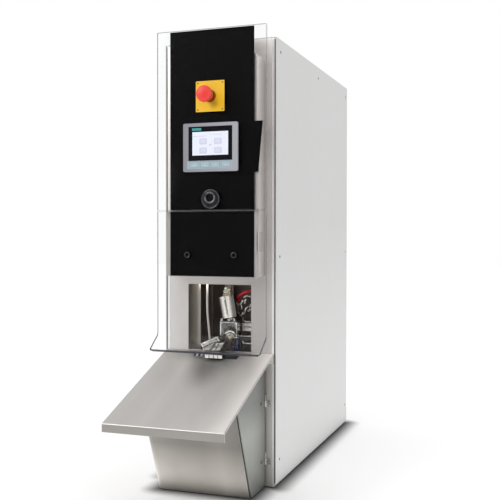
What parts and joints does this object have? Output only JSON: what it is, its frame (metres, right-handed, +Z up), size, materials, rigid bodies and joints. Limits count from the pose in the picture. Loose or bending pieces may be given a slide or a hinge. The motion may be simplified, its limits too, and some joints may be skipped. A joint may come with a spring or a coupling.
{
  "type": "capsule filler",
  "caption": "Narrow deep floor-standing filling and closing station with a clear hinged guard, a touch panel column, a stop button, a sloping work table and a tapered lower housing.",
  "frame": {"origin": "on the floor, under the middle of the whole machine's outer box", "axes": "+X to the operator's right, +Y into the machine, +Z up"},
  "size_m": [0.2914, 1.106, 1.1034],
  "materials": {
    "stainless": "brushed stainless sheet",
    "painted_white": "fine satin powder coat",
    "clear_guard": "clear polished plastic sheet",
    "black_fascia": "smooth semi-gloss black",
    "black_plastic": "moulded black",
    "dark_steel": "dull stainless in shade",
    "polished_steel": "polished stainless",
    "brass": "nickel-brass fitting",
    "grey_plastic": "moulded grey",
    "silver_plastic": "silver painted plastic",
    "screen": "lit display under a dark frame",
    "key_blue": "grey-blue membrane key",
    "yellow_plate": "signal yellow",
    "red_cap": "signal red",
    "rubber": "black rubber",
    "hose": "milky silicone hose",
    "red_hose": "red pneumatic tube",
    "blue_hose": "dark blue tube"
  },
  "bodies": {
    "cabinet": {"base_plate": "stainless", "connector_plate": "stainless", "wall_left": "stainless", "wall_right": "stainless", "front_sheet": "stainless", "column_cover": "stainless", "work_table": "stainless", "housing_shell": "stainless", "housing_floor": "stainless", "foot_front_left": "rubber", "foot_front_right": "rubber", "foot_rear_left": "rubber", "foot_rear_right": "rubber", "side_panel_left": "painted_white", "side_panel_right": "painted_white", "top_panel": "painted_white", "rear_panel": "painted_white", "upper_guard_plate": "clear_guard", "upper_fascia": "black_fascia", "power_inlet": "black_plastic", "power_switch": "black_plastic", "estop_collar": "black_plastic", "port_flange": "black_plastic", "door_hinge": "dark_steel", "bay_frame": "dark_steel", "bay_side_plate": "dark_steel", "service_hinge_lower": "polished_steel", "service_hinge_upper": "polished_steel", "valve_body": "polished_steel", "valve_actuator": "polished_steel", "manifold": "polished_steel", "clamp_base": "polished_steel", "air_inlet_fitting": "brass", "nozzle_tip": "brass", "actuator_fitting": "brass", "hmi_housing": "grey_plastic", "estop_contact_block": "grey_plastic", "control_unit": "grey_plastic", "dosing_pump": "grey_plastic", "hmi_bezel": "silver_plastic", "hmi_screen": "screen", "estop_plate": "yellow_plate", "product_hose": "hose", "red_air_hose": "red_hose", "blue_drain_hose": "blue_hose"},
    "guard_door": {"lower_guard_plate": "clear_guard", "lower_fascia": "black_fascia", "door_backing": "silver_plastic", "door_screw_left": "black_plastic", "door_screw_right": "black_plastic"},
    "service_door": {"service_door": "stainless"},
    "estop_plunger": {"estop_plunger": "black_plastic"},
    "estop_cap": {"estop_cap": "red_cap"},
    "clamp_jaw_left": {"clamp_jaw_left": "polished_steel"},
    "clamp_jaw_right": {"clamp_jaw_right": "polished_steel"},
    "power_rocker": {"power_rocker": "rubber"},
    "function_key_1": {"function_key_1": "key_blue"},
    "function_key_2": {"function_key_2": "key_blue"},
    "function_key_3": {"function_key_3": "key_blue"},
    "function_key_4": {"function_key_4": "key_blue"}
  },
  "joints": [
    {"name": "guard_door_hinge", "type": "hinge", "parent": "cabinet", "child": "guard_door", "pos_m": [0.1175, -0.273, 0.568], "axis": [0, 0, 1], "range_deg": [0, 90]},
    {"name": "service_door_hinge", "type": "hinge", "parent": "cabinet", "child": "service_door", "pos_m": [0.1202, -0.2254, 0.138], "axis": [0, 0, 1], "range_deg": [0, 90]},
    {"name": "estop_press", "type": "slide", "parent": "cabinet", "child": "estop_plunger", "axis": [0, 1, 0], "range_m": [0, 0.005]},
    {"name": "estop_twist", "type": "hinge", "parent": "estop_plunger", "child": "estop_cap", "pos_m": [-0.0009, -0.312, 0.9418], "axis": [0, -1, 0], "range_deg": [0, 45], "stiffness_Nm_per_rad": 0.02},
    {"name": "clamp_left_slide", "type": "slide", "parent": "cabinet", "child": "clamp_jaw_left", "axis": [-1, 0, 0], "range_m": [0, 0.005]},
    {"name": "clamp_right_slide", "type": "slide", "parent": "cabinet", "child": "clamp_jaw_right", "axis": [1, 0, 0], "range_m": [0, 0.005]},
    {"name": "power_rocker_tilt", "type": "hinge", "parent": "cabinet", "child": "power_rocker", "pos_m": [0.065, 0.5303, 0.118], "axis": [1, 0, 0], "range_deg": [0, 16]},
    {"name": "function_key_1_press", "type": "slide", "parent": "cabinet", "child": "function_key_1", "axis": [0, 1, 0], "range_m": [0, 0.0006], "stiffness_N_per_m": 400},
    {"name": "function_key_2_press", "type": "slide", "parent": "cabinet", "child": "function_key_2", "axis": [0, 1, 0], "range_m": [0, 0.0006], "stiffness_N_per_m": 400},
    {"name": "function_key_3_press", "type": "slide", "parent": "cabinet", "child": "function_key_3", "axis": [0, 1, 0], "range_m": [0, 0.0006], "stiffness_N_per_m": 400},
    {"name": "function_key_4_press", "type": "slide", "parent": "cabinet", "child": "function_key_4", "axis": [0, 1, 0], "range_m": [0, 0.0006], "stiffness_N_per_m": 400}
  ],
  "couplings": [
    {"joint": "clamp_right_slide", "follows": "clamp_left_slide", "ratio": 1}
  ]
}
